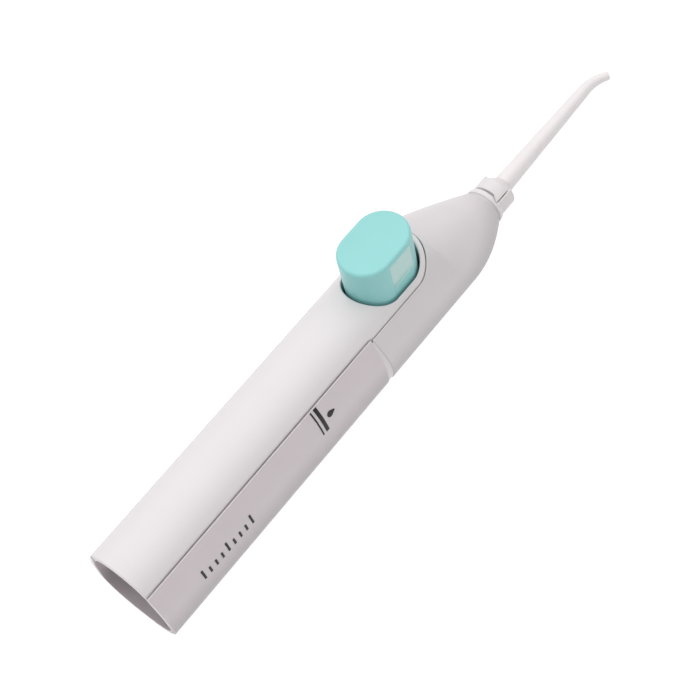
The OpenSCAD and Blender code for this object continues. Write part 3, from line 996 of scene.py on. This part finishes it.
@dataclass(frozen=True)
class JetTip:
    """Tapered tube with a bent end and a fine mouth."""

    form: BodyForm
    foot: float = 188.5 * MM
    start: float = 206.2 * MM
    bend_y: float = 261 * MM
    bend_radius: float = 17 * MM
    bend_angle: float = 32.0
    end_length: float = 2.3 * MM
    spigot: float = 3.5 * MM
    base: float = 3.85 * MM
    at_bend: float = 2.45 * MM
    at_end: float = 1.7 * MM

    def shell(self, skin: Skin) -> None:
        """Adds the tube: circles swept along a straight run, an arc and a short straight end.

        Args:
            skin: The skin that the surface is added to.
        """
        bend = math.radians(self.bend_angle)
        straight = np.linspace(self.start + 0.6 * MM, self.bend_y, 60)
        turn = np.linspace(0, bend, 30)[1:]
        reach = np.linspace(0, self.end_length - 0.3 * MM, 6)[1:]
        arc_x = self.bend_radius * (1 - np.cos(turn))
        arc_y = self.bend_y + self.bend_radius * np.sin(turn)
        centre_x = np.concatenate([0 * straight, arc_x, arc_x[-1] + reach * math.sin(bend)])
        centre_y = np.concatenate([straight, arc_y, arc_y[-1] + reach * math.cos(bend)])
        heading = np.concatenate([0 * straight, turn, np.full(len(reach), bend)])
        taper = (straight - self.start) / (self.bend_y - self.start)
        radius = np.concatenate([
            self.base + (self.at_bend - self.base) * taper,
            self.at_bend + (self.at_end - self.at_bend) * 0.8 * turn / bend,
            self.at_end + (self.at_bend - self.at_end) * 0.2 * (1 - reach / self.end_length),
        ])
        end = np.array([centre_x[-1], centre_y[-1]])
        ahead = np.array([math.sin(bend), math.cos(bend)])
        mouth = [(0.12, 1.62), (0.25, 1.45), (0.3, 1.2), (0.3, 0.75), (0.2, 0.6), (-3.0, 0.6), (-3.0, 0.0)]
        close = np.array([end + ahead * forward * MM for forward, _ in mouth])
        foot = np.array([(0.0, self.foot), (3.2 * MM, self.foot), (self.spigot, self.foot + 0.3 * MM),
                         (self.spigot, self.start), (self.base - 0.35 * MM, self.start),
                         (self.base - 0.05 * MM, self.start + 0.15 * MM)])
        centre_x = np.concatenate([0 * foot[:, 0], centre_x, close[:, 0]])
        centre_y = np.concatenate([foot[:, 1], centre_y, close[:, 1]])
        radius = np.concatenate([foot[:, 0], radius, np.array([r for _, r in mouth]) * MM])
        heading = np.concatenate([0 * foot[:, 0], heading, np.full(len(mouth), bend)])[:, None]
        around = np.linspace(0, 2 * math.pi, 72, endpoint=False)
        across = radius[:, None] * np.cos(around)
        x = centre_x[:, None] + across * np.cos(heading)
        y = centre_y[:, None] - across * np.sin(heading)
        z = self.form.flow_z + radius[:, None] * np.sin(around)
        skin.grid(np.stack([x, y, z], axis=-1), wrap_cols=True)


# ---------------------------------------------------------------- finishes


class Grain(Enum):
    """How a finish's fine relief runs."""

    FINE = (1.0, 1.0, 1.0)
    DRAWN = (1.0, 0.04, 1.0)


def linear(code: str) -> tuple[float, float, float, float]:
    """Linear colour of an sRGB hex code.

    Args:
        code: Six hex digits after a #.

    Returns:
        Red, green, blue and 1.
    """
    parts = [int(code[k : k + 2], 16) / 255 for k in (1, 3, 5)]
    made = [p / 12.92 if p <= 0.04045 else ((p + 0.055) / 1.055) ** 2.4 for p in parts]
    return (made[0], made[1], made[2], 1.0)


def add_node(
    tree: bpy.types.NodeTree, kind: str, settings: dict[str, object], **links: bpy.types.NodeSocket
) -> bpy.types.Node:
    """Adds a node to a material's tree.

    Args:
        tree: The tree.
        kind: The node's type.
        settings: Socket names or numbers, and properties, with their values.
        links: Sockets that feed its inputs, by name, with _ for each blank.

    Returns:
        The node.
    """
    made = tree.nodes.new(kind)
    for key, value in settings.items():
        if hasattr(made, key):
            setattr(made, key, value)
        else:
            made.inputs[int(key) if key.isdigit() else key].default_value = value
    for key, source in links.items():
        name = key.replace("_", " ")
        target = made.inputs[int(name[1:])] if name[1:].isdigit() else made.inputs[name]
        tree.links.new(source, target)
    return made


@dataclass(frozen=True)
class Finish:
    """A surface: its colour, shine and fine relief, with pattern sizes in real millimetres."""

    name: str
    colour: str
    shade: str
    roughness: tuple[float, float] = (0.34, 0.44)
    cloud_mm: float = 18.0
    grain_mm: float = 0.35
    grain_depth_mm: float = 0.004
    grain: Grain = Grain.FINE
    metallic: float = 0.0
    scatter: float = 0.0
    coat: float = 0.0
    # Colour of a painted highlight, mixed in by the mesh's per-point share of it
    painted_highlight_colour: str | None = None
    # Painted shade: a darker colour that the surface takes on towards the back, from front_z down to
    # behind_z, where its sides turn from the light
    behind: str | None = None
    front_z: float = 23 * MM
    behind_z: float = 8 * MM

    def build(self) -> bpy.types.Material:
        """Makes the material.

        Returns:
            The material, with a colour that drifts, a roughness that varies and a fine relief.
        """
        material = bpy.data.materials.new(self.name)
        material.use_nodes = True
        tree = material.node_tree
        surface = tree.nodes["Principled BSDF"]
        place = add_node(tree, "ShaderNodeTexCoord", {}).outputs["Object"]
        stretched = add_node(tree, "ShaderNodeMapping", {"Scale": self.grain.value}, Vector=place).outputs[0]
        broad, small = 1 / (self.cloud_mm * MM), 1 / (self.grain_mm * MM)
        cloud = add_node(tree, "ShaderNodeTexNoise", {"Scale": broad, "Detail": 3.0}, Vector=place)
        relief = add_node(tree, "ShaderNodeTexNoise", {"Scale": small, "Detail": 4.0}, Vector=stretched)
        colour = add_node(
            tree, "ShaderNodeMix", {"data_type": "RGBA", "6": linear(self.colour), "7": linear(self.shade)},
            _0=cloud.outputs["Fac"],
        ).outputs[2]
        # Painted shade: the colour darkens towards the back by height, where the sides turn from the overhead
        # light
        if self.behind:
            height = add_node(tree, "ShaderNodeSeparateXYZ", {}, Vector=place).outputs["Z"]
            share = add_node(
                tree, "ShaderNodeMapRange",
                {"interpolation_type": "SMOOTHSTEP", "From Min": self.front_z, "From Max": self.behind_z},
                Value=height,
            ).outputs[0]
            colour = add_node(
                tree, "ShaderNodeMix", {"data_type": "RGBA", "7": linear(self.behind)}, _0=share, _6=colour
            ).outputs[2]
        # Painted highlight: the mesh's per-point share mixes in a paler colour
        if self.painted_highlight_colour:
            painted_highlight = add_node(tree, "ShaderNodeAttribute", {"attribute_name": "painted_highlight"}).outputs["Fac"]
            colour = add_node(
                tree, "ShaderNodeMix", {"data_type": "RGBA", "7": linear(self.painted_highlight_colour)}, _0=painted_highlight, _6=colour
            ).outputs[2]
        low, high = self.roughness
        rough = add_node(
            tree, "ShaderNodeMapRange", {"From Min": 0.3, "From Max": 0.7, "To Min": low, "To Max": high},
            Value=relief.outputs["Fac"],
        ).outputs[0]
        depth = {"Strength": 0.6, "Distance": self.grain_depth_mm * MM}
        bump = add_node(tree, "ShaderNodeBump", depth, Height=relief.outputs["Fac"]).outputs[0]
        for socket, source in (("Base Color", colour), ("Roughness", rough), ("Normal", bump)):
            tree.links.new(source, surface.inputs[socket])
        surface.inputs["Metallic"].default_value = self.metallic
        surface.inputs["Subsurface Weight"].default_value = self.scatter
        surface.inputs["Subsurface Radius"].default_value = (1.0, 0.9, 0.9)
        surface.inputs["Subsurface Scale"].default_value = 1.5 * MM
        surface.inputs["Coat Weight"].default_value = self.coat
        return material


FINISHES = {
    # Injection-moulded white ABS, fine spark-eroded mould texture
    "white_abs": Finish("moulded_white_abs", "#DBD7D8", "#D7D3D4", scatter=0.05),
    # The same ABS of the rear shell, a shade greyer, with painted shade that darkens it towards the back
    "head_abs": Finish("moulded_pearl_abs", "#D3CED0", "#CFCACC", scatter=0.05, behind="#B6B1B3"),
    # Smoother moulded polypropylene of the disposable tip
    "tip_plastic": Finish("moulded_tip_plastic", "#E4DFE0", "#DFDADB", (0.28, 0.36), scatter=0.08),
    # Clear ABS with a smoke tint, satin outside so the tank looks milky, with painted shade that darkens it
    # towards the back
    "smoke_tank": Finish(
        "smoke_tinted_abs", "#D3CBCE", "#CDC5C8", (0.3, 0.4), scatter=0.5, coat=0.1, behind="#ACA5A8"
    ),
    # Injection-moulded aqua ABS, with a painted highlight: paler in the side recesses, standing in for the
    # light that they catch
    "aqua_abs": Finish("moulded_aqua_abs", "#90D0CE", "#88C9C7", (0.3, 0.4), scatter=0.05, painted_highlight_colour="#B8DAD6"),
    # Machined-smooth natural acetal for the pump's pieces
    "inner_acetal": Finish("moulded_acetal", "#DCDCDA", "#D3D3D1", (0.4, 0.5), 12.0),
    # Extruded clear vinyl hose
    "clear_tube": Finish("extruded_vinyl", "#D4D6D6", "#C9CBCB", (0.2, 0.3), 8.0, grain=Grain.DRAWN),
    # Moulded nitrile rubber, slightly dusty
    "grey_rubber": Finish("moulded_nitrile", "#6E6E72", "#626266", (0.55, 0.7), 6.0, 0.2, 0.01),
    # Drawn and polished stainless wire and balls
    "stainless_steel": Finish(
        "drawn_stainless", "#B9BCC0", "#AEB1B5", (0.2, 0.32), 5.0, 0.15, 0.002, Grain.DRAWN, metallic=1.0
    ),
    # Pad-printed black ink on the tank
    "ink": Finish("pad_printed_ink", "#0C0B0B", "#121011", (0.45, 0.55), 3.0, 0.12, 0.006),
}


# ---------------------------------------------------------------- studio


@dataclass(frozen=True)
class Studio:
    """Pale floor, soft lights and the camera."""

    camera_at: tuple[float, float, float] = (0.2197, -0.1888, 0.4544)
    right: tuple[float, float, float] = (0.7706, 0.6193, -0.1505)
    up: tuple[float, float, float] = (-0.4763, 0.7166, 0.5096)
    lens: float = 75.26
    bright_side: tuple[float, float, float] = (-0.6, 0.2, 0.77)
    sky: tuple[float, float] = (0.1, 0.94)
    floor_drop: float = 0.22
    floor_half: float = 3.0

    def camera(self) -> None:
        """Makes the scene's camera."""
        data = bpy.data.cameras.new("camera")
        data.lens, data.sensor_width = self.lens, 36.0
        data.clip_start, data.clip_end = 0.01, 20.0
        camera = bpy.data.objects.new("camera", data)
        right, up = Vector(self.right).normalized(), Vector(self.up)
        back = right.cross(up).normalized()
        turn = Matrix((right, back.cross(right), back)).transposed()
        camera.matrix_world = Matrix.Translation(self.camera_at) @ turn.to_4x4()
        bpy.context.scene.collection.objects.link(camera)
        bpy.context.scene.camera = camera

    def floor(self) -> None:
        """Makes a wide plain floor whose far sides rise a little."""
        share = np.linspace(-1, 1, 41)
        x, y = np.meshgrid(share * self.floor_half, share * self.floor_half)
        z = -self.floor_drop + 0.3 * smooth_step(np.hypot(x, y), 1.5, 4.5)
        points = np.stack([x, y, z], axis=-1).reshape(-1, 3)
        index = np.arange(41 * 41).reshape(41, 41)
        corners = [index[:-1, :-1], index[:-1, 1:], index[1:, 1:], index[1:, :-1]]
        quads = np.stack(corners, axis=-1).reshape(-1, 4)
        mesh = bpy.data.meshes.new("floor")
        mesh.from_pydata(points, [], quads.tolist())
        mesh.shade_smooth()
        card = Finish("matt_white_card", "#FFFFFF", "#FDFDFD", (0.8, 0.9), 200.0, 2.0, 0.01)
        mesh.materials.append(card.build())
        floor = bpy.data.objects.new("floor", mesh)
        bpy.context.scene.collection.objects.link(floor)
        floor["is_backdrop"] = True

    def lamp(
        self, name: str, towards: Vector, place: tuple[float, float, float], size: float, power: float
    ) -> None:
        """Makes a square soft light.

        Args:
            name: Its name.
            towards: The point that it faces.
            place: Where it is.
            size: Its side.
            power: Its power in watts.
        """
        data = bpy.data.lights.new(name, "AREA")
        data.size, data.energy = size, power
        lamp = bpy.data.objects.new(name, data)
        lamp.location = place
        lamp.rotation_euler = (towards - Vector(place)).to_track_quat("-Z", "Y").to_euler()
        bpy.context.scene.collection.objects.link(lamp)
        lamp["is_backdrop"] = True

    def lights(self) -> None:
        """Makes the key light and the pale surroundings, which are brighter on the key's side."""
        middle = sum(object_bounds(), Vector()) / 2
        self.lamp("key_light", middle, (-0.05, 0.04, 1.1), 2.4, 13.6)
        world = bpy.data.worlds.new("surroundings")
        world.use_nodes = True
        tree = world.node_tree
        sky = tree.nodes["Background"]
        sky.inputs["Color"].default_value = (1.0, 0.99, 0.99, 1.0)
        way = add_node(tree, "ShaderNodeTexCoord", {}).outputs["Generated"]
        side = {"operation": "DOT_PRODUCT", "1": self.bright_side}
        facing = add_node(tree, "ShaderNodeVectorMath", side, _0=way)
        strength = add_node(
            tree, "ShaderNodeMapRange", {"From Min": -1.0, "To Min": self.sky[0], "To Max": self.sky[1]},
            Value=facing.outputs["Value"],
        )
        tree.links.new(strength.outputs[0], sky.inputs["Strength"])
        bpy.context.scene.world = world
        bpy.context.scene.view_settings.view_transform = "Standard"


# ---------------------------------------------------------------- the whole


CARRIED = {
    "pump_frame": "inner_acetal", "pump_cylinder": "inner_acetal", "cylinder_cap": "inner_acetal",
    "inlet_valve_body": "inner_acetal", "outlet_valve_body": "inner_acetal",
    "suction_strainer": "inner_acetal", "nozzle_socket": "inner_acetal",
    "plunger": "inner_acetal", "piston": "inner_acetal",
    "suction_tube": "clear_tube", "outlet_tube": "clear_tube",
    "tank_gasket": "grey_rubber", "socket_o_ring": "grey_rubber", "piston_cup": "grey_rubber",
    "frame_screws": "stainless_steel", "return_spring": "stainless_steel",
    "inlet_ball": "stainless_steel", "outlet_ball": "stainless_steel",
    "tank_floor": "smoke_tank",
}


class Flosser:
    """Builds every shown piece of the flosser."""

    def __init__(self, frame: dict) -> None:
        """Reads where the frame lies and makes the finishes.
        """
        self.nodes = frame["nodes"]
        self.rim_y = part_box("front_panel")[0].y
        self.form = BodyForm()
        self.materials = {slot: finish.build() for slot, finish in FINISHES.items()}

    def make(
        self, name: str, slot: str, body: str, add: Callable[[Skin], None], *nodes: str, finish: str = ""
    ) -> None:
        """Builds one piece from the function that adds its surfaces.

        Args:
            name: Name of the piece.
            slot: Its material slot.
            body: The CAD body that it rides on.
            add: Adds the surfaces to a skin.
            nodes: The CAD nodes that it stands for.
            finish: Key of the finish, where it isn't the slot's own.
        """
        skin = Skin(self.rim_y)
        add(skin)
        skin.build(name, self.materials[finish or slot], slot, body, *nodes)

    def shells(self) -> None:
        """Builds the body's shells and the tank."""
        head, panel, tank = HeadHousing(self.form), FrontPanel(self.form), Reservoir(self.form)
        self.make("head_shell", "white_abs", "body", head.shell, "head_housing", finish="head_abs")
        self.make("head_joint_lip", "white_abs", "body", head.lip)
        self.make("neck_ring", "white_abs", "body", head.neck_ring)
        self.make("neck_cradle", "white_abs", "body", head.cradle)
        self.make("front_panel_shell", "white_abs", "body", panel.shell, "front_panel")
        bracing = InnerBracing(self.form)
        self.make("panel_rails", "white_abs", "body", bracing.rails)
        self.make("panel_cross_wall", "white_abs", "body", bracing.cross_wall)
        self.make("panel_bosses", "white_abs", "body", bracing.panel_bosses)
        self.make("head_bosses", "white_abs", "body", bracing.head_bosses)
        self.make("tank_shell", "smoke_tank", "tank", tank.shell, "reservoir")
        self.make("tank_front_wall", "smoke_tank", "tank", tank.front_wall)
        self.make("tank_top_wall", "smoke_tank", "tank", tank.top)

    def marks(self) -> None:
        """Builds the ink on the tank."""
        marks = PrintedMarks(self.form)
        self.make("fill_line", "smoke_tank", "tank", marks.level, finish="ink")
        self.make("fill_drop", "smoke_tank", "tank", marks.drop, finish="ink")
        self.make("tank_scale", "smoke_tank", "tank", marks.scale, finish="ink")

    def controls(self) -> None:
        """Builds the button, the collar and the jet tip."""
        self.make("thumb_button", "aqua_abs", "button", PumpButton(self.form).shell, "pump_button")
        self.make("collar_block", "white_abs", "collar", TipCollar(self.form).shell, "tip_collar")
        self.make("jet_tube", "tip_plastic", "tip", JetTip(self.form).shell, "jet_tip")

    def insides(self) -> None:
        """Gives the carried-over CAD pieces their finishes."""
        for node, slot in CARRIED.items():
            mesh = self.nodes[node].data
            mesh.materials.clear()
            mesh.materials.append(self.materials[slot])
            LOG.info("%s: CAD piece in %s", node, slot)


def main() -> None:
    """Builds the flosser and its studio."""
    logging.basicConfig(level=logging.INFO, format="%(name)s: %(message)s")
    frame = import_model()
    flosser = Flosser(frame)
    flosser.shells()
    flosser.marks()
    flosser.controls()
    flosser.insides()
    studio = Studio()
    studio.camera()
    studio.floor()
    studio.lights()


if __name__ == "__main__":
    main()
